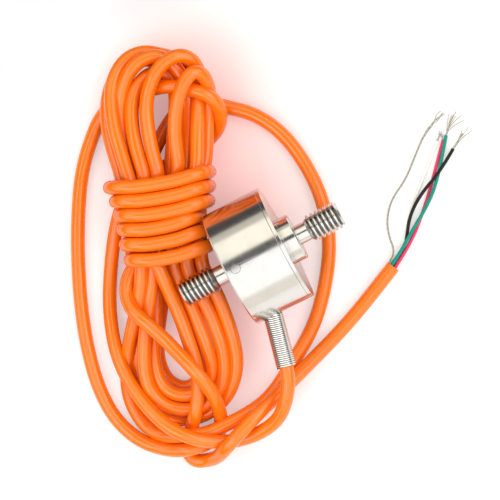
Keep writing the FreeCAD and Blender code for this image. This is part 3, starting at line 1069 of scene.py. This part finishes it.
@dataclass
class Cable:
    """Jacketed cable: out of the coil, through the tied hank with its turns and wraps, to the cut end."""

    exit: Vector
    diameter: float = 3.0
    length: float = 1837.0
    hank_centre: tuple[float, float] = (-15.4, 17.1)
    across: tuple[float, float] = (0.934, -0.358)
    along: tuple[float, float] = (0.358, 0.934)
    wrap_sag: float = 0.9
    wrap_drop: float = 1.0

    # From inside the cup through the coil, under the hank and out at its right
    lead = (
        (-3.5, -9.7, 12.5), (-5.0, -16.1, 12.5), (-6.6, -23.1, 12.5), (-7.5, -25.7, 12.5),
        (-9.9, -29.2, 11.6), (-13.5, -32.3, 9.2), (-19.3, -33.3, 6.0), (-25.6, -32.0, 4.9),
        (-31.4, -28.0, 8.3), (-35.8, -21.9, 8.0), (-38.2, -13.7, 5.4), (-38.5, -4.9, 3.2),
        (-35.5, 4.5, 1.7), (-30.6, 12.9, 2.0), (-24.7, 20.6, 4.4), (-20.7, 23.8, 4.6), (-15.8, 26.7, 4.3),
        (-11.7, 29.3, 3.2), (-8.8, 31.6, 2.2), (-5.4, 33.9, 1.6), (-1.8, 35.3, 1.5), (2.1, 34.7, 1.5),
    )
    # Right side of the outer loop, behind the cell, and round the foot of the hank
    right_loop = (
        (6.0, 31.4, 1.5), (11.2, 26.9, 1.5), (14.6, 20.4, 1.5), (15.9, 12.2, 1.5), (15.5, 3.8, 1.5),
        (12.8, -4.5, 1.5), (8.0, -11.8, 1.5), (1.8, -18.5, 1.5), (-6.2, -23.6, 1.5), (-13.7, -27.9, 2.4),
        (-20.4, -28.6, 4.7), (-25.8, -28.4, 4.6), (-29.0, -28.2, 4.8), (-32.0, -26.8, 5.2),
        (-35.2, -25.8, 4.0), (-38.0, -24.3, 2.2), (-39.9, -21.6, 1.5), (-40.6, -18.2, 1.5),
        (-40.4, -14.2, 1.5), (-39.1, -10.5, 1.5), (-37.3, -7.4, 1.9), (-35.1, -4.3, 3.6),
        (-32.4, -1.4, 5.6), (-29.8, 1.4, 7.0), (-27.4, 4.2, 8.0), (-25.4, 7.0, 9.0), (-23.6, 10.1, 9.6),
    )
    # Turns of the hank in order, a top bend and then a bottom bend
    turns = (
        (-21.6, 19.3, 7.6), (-19.2, 28.5, 7.2), (-18.4, 33.7, 6.8), (-17.3, 38.5, 6.4), (-15.3, 42.7, 6.2),
        (-12.8, 45.9, 5.4), (-9.6, 47.8, 4.8), (-5.8, 48.4, 4.6), (-2.6, 46.9, 4.5), (-0.4, 43.7, 4.4),
        (0.3, 39.6, 4.3), (-0.4, 34.7, 4.5), (-2.9, 30.3, 4.6), (-5.9, 26.7, 4.6), (-7.7, 23.9, 4.6),
        (-11.5, 14.0, 4.6), (-15.2, 4.5, 4.5), (-15.4, -0.3, 4.2), (-15.6, -5.5, 3.7), (-16.2, -10.7, 2.9),
        (-17.7, -15.5, 2.0), (-20.2, -19.3, 1.5), (-23.7, -21.6, 1.5), (-27.4, -21.7, 1.5),
        (-30.8, -20.4, 1.5), (-33.7, -18.1, 1.5), (-34.8, -15.1, 1.5), (-34.3, -11.5, 1.5),
        (-32.4, -7.3, 1.5), (-30.2, -3.1, 1.5), (-28.0, 1.0, 1.7), (-25.6, 4.6, 3.0), (-23.1, 8.6, 4.5),
        (-19.2, 17.6, 5.8), (-17.0, 26.6, 7.4), (-15.8, 32.1, 7.6), (-14.4, 37.2, 7.9), (-12.4, 41.3, 8.4),
        (-10.3, 44.2, 9.2), (-7.4, 46.4, 9.9), (-4.2, 47.3, 10.2), (-1.2, 46.8, 9.8), (0.8, 44.8, 9.2),
        (1.7, 41.9, 8.6), (1.5, 38.5, 7.8), (0.2, 34.7, 7.5), (-2.2, 30.4, 7.5), (-4.6, 26.5, 7.6),
        (-6.4, 23.4, 7.6), (-11.3, 14.0, 7.6), (-15.9, 5.5, 7.5), (-16.1, 1.8, 7.3), (-16.1, -1.7, 7.1),
        (-16.1, -5.5, 6.9), (-16.5, -9.3, 6.6), (-17.2, -13.5, 6.2), (-18.7, -17.3, 5.6),
        (-21.1, -20.4, 5.0), (-24.3, -22.3, 4.4), (-28.1, -22.6, 4.0), (-31.5, -21.4, 4.0),
        (-34.0, -19.0, 4.3), (-35.1, -15.8, 4.9), (-34.8, -12.1, 5.6), (-33.1, -8.1, 6.2),
        (-30.8, -4.3, 6.7), (-28.2, -0.6, 7.0), (-25.6, 3.0, 7.3), (-23.5, 5.7, 8.0), (-21.8, 8.6, 8.6),
        (-19.1, 18.1, 9.8), (-17.8, 26.8, 10.3), (-16.8, 32.1, 10.2), (-15.9, 37.0, 9.9),
        (-14.3, 41.6, 9.6), (-12.3, 45.5, 9.0), (-9.4, 48.1, 8.3), (-6.3, 49.3, 7.7), (-3.0, 48.8, 7.2),
        (-0.6, 47.0, 6.7), (1.5, 45.1, 6.1), (3.6, 43.8, 5.5), (4.6, 41.3, 4.9), (4.1, 38.0, 4.6),
        (2.3, 33.8, 4.6), (-0.1, 28.9, 4.7), (-2.0, 25.2, 4.7), (-4.0, 22.2, 4.7), (-8.9, 12.7, 6.0),
        (-12.9, 4.4, 7.4), (-13.0, 0.7, 7.2), (-13.0, -3.3, 7.0), (-13.4, -7.6, 6.8), (-14.1, -12.0, 6.4),
        (-15.4, -16.6, 5.8), (-17.7, -20.2, 4.8), (-21.1, -23.1, 3.4), (-25.5, -24.7, 2.0),
        (-29.6, -24.6, 1.5), (-33.1, -23.1, 1.5), (-35.7, -20.4, 1.5), (-37.0, -17.1, 1.5),
        (-37.2, -13.4, 1.5), (-36.1, -9.7, 1.5), (-34.0, -5.9, 1.7), (-31.5, -2.4, 2.6), (-28.9, 1.2, 4.0),
        (-26.2, 4.8, 5.2), (-23.2, 9.3, 6.8), (-18.7, 17.4, 8.8), (-14.7, 25.2, 10.2), (-13.9, 29.9, 10.2),
        (-12.7, 34.7, 10.0), (-11.1, 38.7, 9.6), (-8.8, 42.0, 9.0), (-6.0, 43.8, 8.3), (-3.2, 44.0, 7.6),
        (-0.9, 42.6, 7.2), (-0.5, 40.1, 7.2), (-1.8, 36.8, 7.2), (-4.1, 32.8, 7.3), (-7.0, 28.4, 7.4),
        (-9.3, 24.7, 7.5), (-14.1, 15.4, 7.6), (-18.6, 6.9, 7.6), (-18.8, 3.3, 7.5), (-18.9, -0.5, 7.3),
        (-19.0, -4.0, 7.2), (-19.4, -7.8, 7.0), (-20.0, -12.0, 6.6), (-20.9, -15.6, 6.0),
        (-22.6, -18.1, 5.2), (-25.2, -19.5, 4.4), (-28.3, -19.5, 4.0), (-30.9, -18.0, 4.0),
        (-32.4, -15.6, 4.0), (-32.5, -12.4, 4.1), (-31.3, -8.8, 4.2), (-29.2, -5.1, 4.3),
        (-26.9, -1.3, 4.3), (-24.5, 2.7, 4.6), (-21.3, 8.3, 6.0), (-16.7, 16.3, 8.4), (-11.9, 24.4, 10.4),
        (-11.0, 28.8, 10.6), (-9.6, 33.5, 11.0), (-7.8, 37.9, 11.4), (-5.4, 41.1, 11.8), (-2.7, 43.3, 12.2),
        (0.3, 44.5, 12.2), (3.5, 44.4, 11.6), (5.3, 42.5, 10.4), (5.4, 40.0, 8.8), (3.9, 36.8, 8.0),
        (1.9, 33.6, 9.0), (-0.2, 29.5, 9.9), (-2.4, 25.3, 10.2), (-4.2, 22.0, 10.4), (-11.0, 13.8, 9.0),
        (-18.2, 6.1, 4.6), (-19.3, 0.9, 4.2), (-20.1, -4.1, 3.9), (-21.1, -9.1, 3.5), (-22.4, -13.8, 2.8),
        (-24.3, -16.9, 2.0), (-26.7, -18.1, 1.5), (-29.1, -17.7, 1.5), (-30.9, -15.7, 1.5),
        (-31.6, -13.2, 1.5), (-31.2, -10.1, 1.5), (-29.8, -6.7, 1.5), (-27.6, -3.3, 1.5), (-25.0, 0.2, 1.7),
        (-22.8, 3.7, 2.9), (-20.7, 7.9, 4.5), (-14.7, 15.7, 7.0), (-7.5, 23.5, 10.4), (-6.1, 27.5, 10.9),
        (-4.4, 31.4, 11.6), (-2.4, 34.6, 12.3), (-0.2, 37.1, 13.0), (2.2, 39.0, 13.4), (4.2, 39.8, 13.2),
        (5.7, 39.1, 12.4), (6.0, 37.0, 10.6), (5.0, 34.4, 8.2), (2.8, 31.1, 6.9), (0.6, 27.5, 7.0),
        (-1.4, 23.8, 7.3), (-3.7, 20.8, 7.6),
    )
    # Slack strand over the bottom bends, and the left side of the outer loop
    left_loop = (
        (-14.1, 15.0, 7.5), (-25.2, 10.3, 7.2), (-27.6, 8.8, 7.4), (-29.3, 6.8, 7.8), (-30.1, 4.3, 8.7),
        (-30.0, 1.9, 9.8), (-29.0, -0.6, 10.4), (-27.9, -3.3, 10.2), (-26.7, -6.5, 10.1),
        (-25.6, -10.1, 10.4), (-24.5, -13.7, 10.8), (-23.6, -17.2, 10.5), (-23.2, -20.7, 9.0),
        (-23.7, -24.1, 6.2), (-24.7, -26.8, 3.2), (-26.2, -29.1, 1.6), (-28.6, -30.2, 2.6),
        (-31.4, -30.1, 4.4), (-34.6, -29.3, 4.4), (-38.2, -27.7, 2.4), (-42.8, -23.4, 1.5),
        (-45.4, -16.4, 1.5), (-45.2, -8.0, 1.5), (-42.8, 1.8, 1.5), (-38.6, 12.6, 1.5), (-33.0, 23.8, 1.5),
        (-27.0, 33.4, 1.5),
    )
    # Small loop at the top right, and down under the hank to the wraps
    small_loop = (
        (-20.4, 39.8, 1.7), (-17.0, 41.8, 2.6), (-13.6, 42.5, 3.8), (-10.1, 41.9, 5.2), (-6.6, 41.3, 7.2),
        (-3.4, 40.6, 9.0), (-0.6, 39.3, 9.9), (1.5, 37.5, 10.4), (3.7, 35.7, 11.0), (5.2, 33.7, 10.6),
        (5.7, 31.2, 8.8), (4.8, 29.0, 6.4), (2.8, 27.4, 3.8), (0.1, 26.5, 2.0), (-3.4, 25.9, 1.5),
        (-9.0, 25.9, 1.5),
    )
    # Wraps that tie the hank: left and right ends across it, and the place along it
    wraps = (
        (-10.0, 10.7, 7.6), (-9.1, 10.3, 4.6), (-8.4, 9.8, 1.6), (-8.1, 7.4, -1.4), (-8.0, 8.1, -4.5),
        (-7.4, 8.6, -7.8),
    )
    # One wrap: share of the way across, height, and share of the sag
    wrap_ring = (
        (0.35, 1.5, -1.1), (0.12, 1.7, -0.3), (0.0, 3.6, 0.0), (0.0, 6.8, 0.0), (0.0, 9.8, 0.0),
        (0.03, 12.2, 0.05), (0.12, 13.6, 0.3), (0.28, 13.9, 0.85), (0.5, 13.9, 1.0), (0.72, 13.9, 0.85),
        (0.88, 13.6, 0.3), (0.97, 12.2, 0.05), (1.0, 9.8, 0.0), (1.0, 6.8, 0.0), (1.0, 3.6, 0.0),
        (0.88, 1.7, 0.3), (0.65, 1.5, 1.1),
    )
    # Last strand out from under the wraps, its fold, and the run to the cut end
    tail = (
        (-22.7, 10.8, 1.5), (-24.8, 12.6, 3.0), (-24.9, 13.0, 7.0), (-23.8, 12.0, 10.2), (-20.6, 8.6, 10.8),
        (-21.1, 4.6, 10.2), (-21.4, 1.2, 9.3), (-21.7, -2.0, 8.6), (-22.1, -5.4, 8.1), (-22.8, -9.5, 7.8),
        (-23.5, -13.5, 7.4), (-24.6, -16.9, 7.2), (-26.1, -19.7, 7.0), (-27.8, -22.1, 6.9),
        (-29.5, -24.1, 5.6), (-31.3, -25.8, 3.2), (-32.9, -27.6, 1.6), (-34.2, -29.6, 1.5),
        (-34.6, -31.2, 1.6), (-33.7, -32.8, 1.9), (-31.5, -33.5, 2.6), (-29.0, -33.8, 4.8),
        (-25.8, -32.4, 8.4), (-22.6, -31.3, 8.9), (-19.7, -30.2, 8.8), (-16.7, -29.2, 7.8),
        (-13.6, -28.4, 6.4), (-10.6, -27.5, 4.8), (-3.3, -25.2, 3.3), (5.4, -22.4, 1.9), (14.1, -18.9, 1.5),
        (22.4, -15.0, 1.5),
    )

    def _wrap_points(self) -> list[Point]:
        """Points of the wraps, from the first to the last."""
        points = []
        for left, right, along in self.wraps:
            for share, up, sag in self.wrap_ring:
                across = left + (right - left) * share
                place = along - self.wrap_sag * sag - self.wrap_drop * (1.0 - share)
                points.append((self.hank_centre[0] + across * self.across[0] + place * self.along[0],
                               self.hank_centre[1] + across * self.across[1] + place * self.along[1], up))
        return points

    def route(self) -> list[Vector]:
        """Every control point of the cable in order."""
        return laid([*self.lead, *self.right_loop, *self.turns, *self.left_loop, *self.small_loop,
                     *self._wrap_points(), *self.tail])

    def build(self, finishes: Finishes, coil: Object) -> None:
        """Cable in its finish, standing for the imported cable's nodes."""
        cable = cord_curve("cable", self.route(), self.diameter, finishes.of(Slot.CABLE_JACKET))
        settled(cable, Slot.CABLE_JACKET, "cable_entry", "cable_lead", "cable_outer_loop", "cable_hank",
                "cable_tail")


@dataclass(frozen=True)
class CoreRun:
    """One insulated core from the cut jacket to its stripped end."""

    colour: str
    slot: Slot
    points: tuple[Point, ...]
    splay: tuple[tuple[float, float], ...]
    bare: float


@dataclass
class CableEnd:
    """Four cores and the drain wire that leave the cut jacket, with their stranded bare ends."""

    exit: Vector
    core_diameter: float = 0.74
    core_length: float = 32.0
    strand_diameter: float = 0.16
    drain_diameter: float = 0.4
    drain_length: float = 38.0
    core_steps: int = 12
    strand_steps: int = 16
    strand_reach: tuple[float, float] = (0.7, 1.1)
    strand_overlap: float = 0.6
    strand_twist: float = 1.1
    bundle_radius: float = 0.17
    wave: float = 0.1
    wave_turn: float = 5.0
    drain_strands: int = 4
    drain_steps: int = 24
    drain_twist: float = 1.6
    drain_drift: float = 0.9
    drain_bundle: float = 0.13
    drain_opening: float = 0.12
    loose_from: float = 0.78
    seed: int = 11

    cores = (
        CoreRun("green", Slot.CORE_GREEN, (
            (19.4, -16.1, 2.3), (24.1, -13.7, 2.3), (29.6, -10.0, 1.6), (33.6, -7.6, 1.2), (37.2, -4.8, 1.2),
            (40.8, -0.8, 1.2), (44.7, 4.2, 0.9)),
            ((-0.05, 0.1), (-0.12, 0.2), (-0.2, 0.1), (-0.28, 0.25), (0.06, 0.1), (-0.45, 0.2), (-0.7, 0.15)),
            5.6),
        CoreRun("red", Slot.CORE_RED, (
            (19.8, -16.9, 1.7), (24.2, -14.6, 1.7), (29.0, -11.4, 0.9), (32.4, -8.4, 0.4), (36.4, -4.5, 0.4),
            (40.4, 0.0, 0.4), (43.8, 3.7, 0.4)), ((0.3, 0.1), (0.9, 0.05), (0.5, 0.2)), 1.6),
        CoreRun("black", Slot.CORE_BLACK, (
            (19.6, -16.4, 0.7), (24.0, -14.5, 0.7), (27.4, -11.2, 0.9), (30.0, -7.4, 1.2), (34.2, -4.3, 1.7),
            (40.0, -2.0, 1.7), (44.7, 1.0, 1.2)),
            ((0.0, 0.0), (0.08, 0.2), (-0.18, 0.1), (-0.1, 0.2), (-0.26, 0.1), (0.02, 0.3)), 6.0),
        CoreRun("white", Slot.CORE_WHITE, (
            (19.0, -15.7, 1.2), (23.7, -13.9, 1.2), (27.6, -10.6, 0.7), (31.2, -5.9, 0.4), (36.0, -1.8, 0.4),
            (42.5, 4.0, 0.4)), ((0.0, 0.1), (0.12, 0.1), (-0.1, 0.2), (-0.2, 0.1)), 2.6),
    )
    drain = (
        (18.9, -15.4, 1.9), (22.4, -13.8, 1.9), (24.0, -12.2, 1.4), (24.3, -9.0, 0.8), (25.6, -5.6, 0.3),
        (28.4, -2.4, 0.3), (33.0, -0.1, 0.3), (37.2, 3.6, 0.3), (41.6, 7.2, 0.3), (46.5, 9.4, 0.3),
    )

    def build(self, finishes: Finishes) -> None:
        """Cores, their bare ends and the drain wire, in the part's finishes."""
        chance = random.Random(self.seed)
        copper = finishes.of(Slot.TINNED_COPPER)
        for run in self.cores:
            strands = self._bare_end(run, copper, chance)
            core = cord_curve("core_%s_run" % run.colour, laid(run.points), self.core_diameter,
                              finishes.of(run.slot), self.core_steps, 4)
            settled(core, run.slot, "core_" + run.colour)
        self._drain(copper, chance)

    @staticmethod
    def _across(ahead: Vector) -> tuple[Vector, Vector]:
        """Level direction across a wire, and the one above it."""
        side = Vector((0.0, 0.0, 1.0)).cross(ahead).normalized()
        return side, ahead.cross(side)

    def _resting(self, place: Vector) -> Vector:
        """Place of a strand, raised where it would sink into the floor."""
        place.z = max(place.z, self.strand_diameter / 2.0 * MM)
        return place

    def _strands(self, name: str, runs: Sequence[Sequence[Vector]],
                 material: Material) -> Object:
        """Round strands through points in metres, as one mesh."""
        carrier = tubes("strand_line", "POLY", runs, self.strand_diameter, 2)
        mesh = evaluated_mesh(carrier)
        bpy.data.objects.remove(carrier)
        smooth(mesh)
        return dressed(name, mesh, material)

    def _bare_end(self, run: CoreRun, copper: Material, chance: random.Random) -> Object:
        """Stripped strands that twist out of a core and splay."""
        line = cord_line(laid(run.points), self.core_steps)
        tip = line[-1]
        ahead = (line[-1] - line[-3]).normalized()
        side, up = self._across(ahead)
        runs = []
        for number, (splay, rise) in enumerate(run.splay):
            phase = 2.0 * math.pi * number / len(run.splay)
            reach = run.bare * chance.uniform(*self.strand_reach)
            strand = []
            for step in range(self.strand_steps + 1):
                share = step / self.strand_steps
                gone = reach * share
                twist = phase + gone * self.strand_twist
                hold = self.bundle_radius * (1.0 - share)
                wave = self.wave * math.sin(self.wave_turn * share + phase) * share
                bend = splay * reach * share * share + wave
                lift = rise * reach * share * share / 2.0
                strand.append(self._resting(
                    tip + (ahead * (gone - self.strand_overlap) + side * (bend + hold * math.cos(twist))
                           + up * (lift + hold * math.sin(twist))) * MM))
            runs.append(strand)
        piece = self._strands("bare_strands_" + run.colour, runs, copper)
        return settled(piece, Slot.TINNED_COPPER, "bare_end_" + run.colour)

    def _drain(self, copper: Material, chance: random.Random) -> None:
        """Drain wire of twisted strands that comes apart at its end."""
        line = cord_line(laid(self.drain), self.drain_steps)
        gone = 0.0
        places = []
        for here, after in zip(line, line[1:]):
            places.append((here, gone, *self._across((after - here).normalized())))
            gone += (after - here).length
        runs = []
        for number in range(self.drain_strands):
            phase = 2.0 * math.pi * number / self.drain_strands
            drift = chance.uniform(-self.drain_drift, self.drain_drift)
            strand = []
            for here, along, side, up in places:
                turn = phase + along / MM * self.drain_twist
                loose = max(0.0, along / gone - self.loose_from) / (1.0 - self.loose_from)
                reach = self.drain_bundle + self.drain_opening * loose
                out = side * (reach * math.cos(turn) + drift * loose * loose) + up * reach * math.sin(turn)
                strand.append(self._resting(here + out * MM))
            runs.append(strand)
        piece = self._strands("drain_strands", runs, copper)
        settled(piece, Slot.TINNED_COPPER, "drain_wire")


class InnerBridge:
    """Parts inside the closed cup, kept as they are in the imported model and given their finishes."""

    nodes = {
        "terminal_board": Slot.BOARD_LAMINATE,
        "gauge_leads": Slot.TINNED_COPPER,
        "entry_bush": Slot.BUSH_RUBBER,
        **{"strain_gauge_%d" % number: Slot.GAUGE_FOIL for number in range(1, 5)},
        **{"trim_resistor_%d" % number: Slot.RESISTOR_BODY for number in range(1, 3)},
        **{"inner_" + slot.value: slot for slot in Finishes.insulated},
    }

    def dress(self, finishes: Finishes) -> None:
        """Give each node its material."""
        for name, slot in self.nodes.items():
            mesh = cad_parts[name].data
            mesh.materials.clear()
            mesh.materials.append(finishes.of(slot))
            LOG.info("node %s keeps its shape (%s)", name, slot.value)


@dataclass
class Studio:
    """Pale floor with a painted pink tint of bounce light near the part, soft strips and end panels round the
    load axis, and the camera.
    """

    lean_deg: float = 4.6
    roll_deg: float = 27.5
    distance: float = 450.0
    aim: Point = (-1.67, 1.86, 12.5)
    focal_px: float = 2182.5
    frame_px: float = 500.0
    sensor: float = 36.0
    floor_half: float = 1500.0
    floor_white: Colour = (0.92, 0.92, 0.92)
    # Painted bounce light: pink paper near the hank, standing in for the light that the orange cable throws
    # on the floor.
    floor_bounce_tint: Colour = (1.0, 0.66, 0.64)
    floor_dark: Colour = (0.06, 0.06, 0.065)
    floor_rough: float = 0.85
    floor_gloss: float = 0.1
    # Painted bounce light: the camera-only glow turns the same pink near the hank.
    glow_bounce_tint: Colour = (1.0, 0.70, 0.68)
    glow_white: Colour = (1.0, 1.0, 1.0)
    glow_share: float = 0.4
    # Place, turn, stretch, reach and fade of the painted bounce-light patch.
    bounce_centre: Point = (-6.0, 14.0, 0.0)
    bounce_turn_deg: float = -21.0
    bounce_stretch: float = 2.2
    bounce_reach: float = 12.0
    bounce_fade: float = 14.0
    paper_end: float = 60.0
    paper_fade: float = 8.0
    world_level: float = 0.09
    strip_reach: float = 600.0
    strip_length: float = 900.0
    end_reach: float = 700.0
    end_size: float = 600.0
    end_radiance: float = 2.0

    # Strips along the load axis: angles from straight up, radiance and colour
    strips = {
        "strip_far": ((18.0, 58.0), 1.55, (1.0, 0.96, 0.84)),
        "strip_far_low": ((58.0, 74.0), 0.75, (1.0, 0.94, 0.82)),
        "strip_near": ((0.0, -60.0), 1.6, (1.0, 1.0, 1.0)),
        "strip_low": ((-60.0, -91.0), 1.15, (1.0, 0.95, 0.86)),
    }

    def build(self) -> None:
        """Make the floor, the lights, the world and the camera."""
        self._floor()
        for name, (tilts, radiance, colour) in self.strips.items():
            self._strip(name, tilts, radiance, colour)
        for name, side in (("panel_base_end", -1.0), ("panel_load_end", 1.0)):
            middle = Vector((side, 0.0, 1.0)).normalized() * self.end_reach * MM
            self._panel(name, middle, Vector((0.0, 1.0, 0.0)), (self.end_size * MM, self.end_size * MM),
                        self.end_radiance, (1.0, 1.0, 1.0))
        self._world()
        self._camera()
        bpy.context.scene.view_settings.view_transform = "Standard"

    def _floor(self) -> None:
        """Pale paper with a painted pink patch of bounce light near the hank, dark behind the part, with a
        glow that only the camera sees.
        """
        shape = bmesh.new()
        bmesh.ops.create_grid(shape, x_segments=8, y_segments=8, size=self.floor_half * MM)
        mesh = bpy.data.meshes.new("floor")
        shape.to_mesh(mesh)
        shape.free()
        recipe = Recipe("floor")
        place = recipe.place()
        depth = recipe.level(recipe.node("ShaderNodeSeparateXYZ", {0: place}).outputs["Y"])
        patch = recipe.node("ShaderNodeMapping", {
            "Vector": place, "Location": metres(self.bounce_centre),
            "Rotation": (0.0, 0.0, math.radians(self.bounce_turn_deg)),
            "Scale": (1.0, self.bounce_stretch, 1.0)}, vector_type="TEXTURE")
        plain = ((recipe.length_of(patch) - self.bounce_reach * MM) / (self.bounce_fade * MM)).held()
        beyond = (depth - self.paper_end * MM) / (self.paper_fade * MM)
        beside = (beyond + 1.0).held()
        behind = beyond.held()
        # Painted bounce light: paper and glow turn pink near the hank, and white farther off.
        paper = recipe.mixed(plain, self.floor_bounce_tint, self.floor_white)
        glow = recipe.node("ShaderNodeEmission", {
            "Color": recipe.mixed(plain, self.glow_bounce_tint, self.glow_white), "Strength": 1.0})
        seen = recipe.level(recipe.node("ShaderNodeLightPath").outputs["Is Camera Ray"])
        mesh.materials.append(recipe.closed({
            "Base Color": recipe.mixed(behind, paper, self.floor_dark),
            "Roughness": self.floor_rough, "Specular IOR Level": self.floor_gloss},
            seen * (self.glow_share + (1.0 - self.glow_share) * beside), glow))
        added("floor", mesh)

    def _strip(self, name: str, tilts: tuple[float, float], radiance: float, colour: Colour) -> None:
        """Long panel along the load axis between two angles from straight up."""
        turn = math.radians(sum(tilts) / 2.0)
        half = math.radians(abs(tilts[1] - tilts[0]) / 2.0)
        middle = Vector((0.0, math.sin(turn), math.cos(turn))) * self.strip_reach * math.cos(half) * MM
        size = (self.strip_length * MM, 2.0 * self.strip_reach * math.sin(half) * MM)
        self._panel(name, middle, Vector((1.0, 0.0, 0.0)), size, radiance, colour)

    def _panel(self, name: str, middle: Vector, along: Vector, size: tuple[float, float], radiance: float,
               colour: Colour) -> None:
        """Soft rectangular light that faces the part.

        Args:
            name: the lamp's name.
            middle: its middle.
            along: direction of its first side.
            size: its two sides.
            radiance: brightness of its face.
            colour: its tint.
        """
        back = middle.normalized()
        light = bpy.data.lights.new(name, "AREA")
        light.shape = "RECTANGLE"
        light.size, light.size_y = size
        light.energy = radiance * math.pi * size[0] * size[1]
        light.color = colour
        lamp = added(name, light)
        lamp.matrix_world = Matrix((along, back.cross(along), back)).transposed().to_4x4()
        lamp.location = middle

    def _world(self) -> None:
        """Even soft light from all round."""
        world = bpy.data.worlds.new("studio")
        bpy.context.scene.world = world
        world.use_nodes = True
        background = world.node_tree.nodes["Background"]
        background.inputs["Color"].default_value = (1.0, 1.0, 1.0, 1.0)
        background.inputs["Strength"].default_value = self.world_level

    def _camera(self) -> None:
        """Camera at the picture's viewing angle."""
        lean = math.radians(self.lean_deg)
        roll = math.radians(self.roll_deg)
        level = Vector((math.cos(lean), 0.0, -math.sin(lean)))
        side = Vector((0.0, 1.0, 0.0))
        right = level * math.cos(roll) - side * math.sin(roll)
        up = level * math.sin(roll) + side * math.cos(roll)
        back = right.cross(up)
        data = bpy.data.cameras.new("camera")
        data.sensor_width = self.sensor
        data.lens = self.focal_px * self.sensor / self.frame_px
        data.clip_start = 0.01
        camera = added("camera", data)
        camera.matrix_world = Matrix((right, up, back)).transposed().to_4x4()
        camera.location = metres(self.aim) + back * (self.distance * MM)
        bpy.context.scene.camera = camera


def main() -> None:
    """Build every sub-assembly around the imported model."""
    logging.basicConfig(level=logging.INFO, format="%(name)s: %(message)s")
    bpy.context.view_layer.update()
    finishes = Finishes()
    cell = Cell()
    cell.build(finishes)
    relief = StrainRelief(cell.spring_seat())
    coil = relief.build(finishes)
    cable = Cable(relief.free_end())
    cable.build(finishes, coil)
    CableEnd(cable.route()[-1]).build(finishes)
    InnerBridge().dress(finishes)
    Studio().build()


if __name__ == "__main__":
    main()
